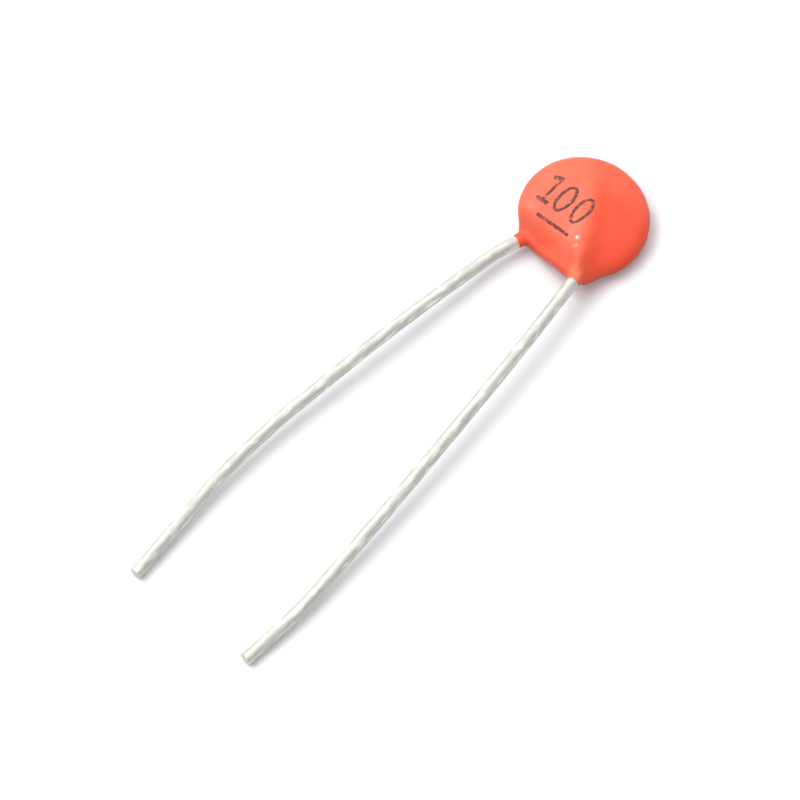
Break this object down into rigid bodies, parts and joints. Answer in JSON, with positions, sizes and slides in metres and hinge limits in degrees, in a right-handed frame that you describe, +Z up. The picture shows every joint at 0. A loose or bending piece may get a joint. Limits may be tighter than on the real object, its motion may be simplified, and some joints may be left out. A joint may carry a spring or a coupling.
{
  "type": "ceramic disc capacitor",
  "caption": "Radial ceramic disc capacitor: a dipped orange lens of a body with bent wire leads, lying as it rests, for soldering into a circuit board.",
  "frame": {"origin": "middle of the footprint, on the surface that it lies on", "axes": "+X from the back lead to the front lead, +Y from the lead tips to the disc, +Z up"},
  "size_m": [0.0064, 0.0246, 0.0017],
  "materials": {
    "coat": "semi-gloss dipped epoxy",
    "wire": "dull tinned copper",
    "solder": "soft solder",
    "silver": "fired silver",
    "ceramic": "matt fired ceramic"
  },
  "bodies": {
    "root": {"coating": "coat", "front_lead": "wire", "back_lead": "wire", "front_solder": "solder", "back_solder": "solder", "front_electrode": "silver", "back_electrode": "silver", "ceramic_disc": "ceramic"}
  },
  "joints": []
}
